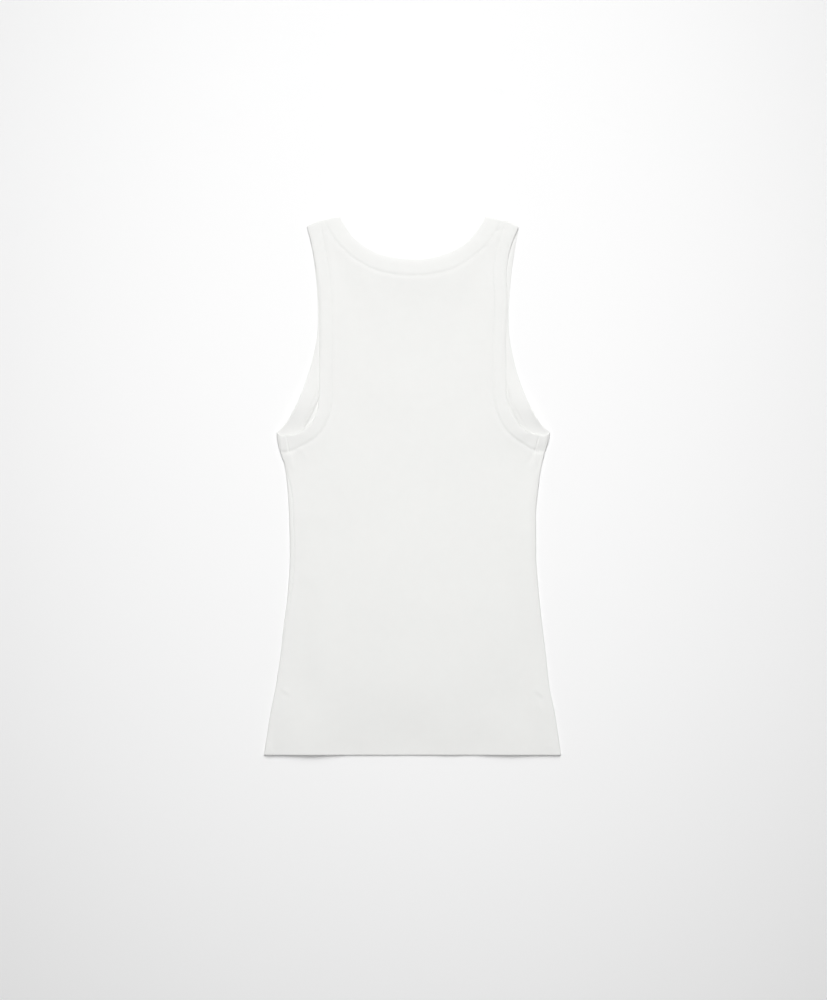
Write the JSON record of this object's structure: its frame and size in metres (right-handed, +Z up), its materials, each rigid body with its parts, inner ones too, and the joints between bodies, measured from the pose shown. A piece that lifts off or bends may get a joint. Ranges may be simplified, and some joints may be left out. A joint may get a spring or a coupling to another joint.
{
  "type": "tank top",
  "caption": "Sleeveless ribbed tank top with a scoop neck and banded armholes, laid flat with its back uppermost.",
  "frame": {"origin": "middle of the garment's footprint, on the surface it lies on", "axes": "+Y from the hem to the neck, +Z up from the surface, +X to the right seen from above with the neck away from the viewer"},
  "size_m": [0.3334, 0.6032, 0.0062],
  "materials": {
    "body_knit": "fine off-white rib knit, matte",
    "band_knit": "the same knit folded double, matte"
  },
  "bodies": {
    "root": {"front_panel": "body_knit", "back_panel": "body_knit", "neck_band": "band_knit", "arm_band_left": "band_knit", "arm_band_right": "band_knit"}
  },
  "joints": []
}
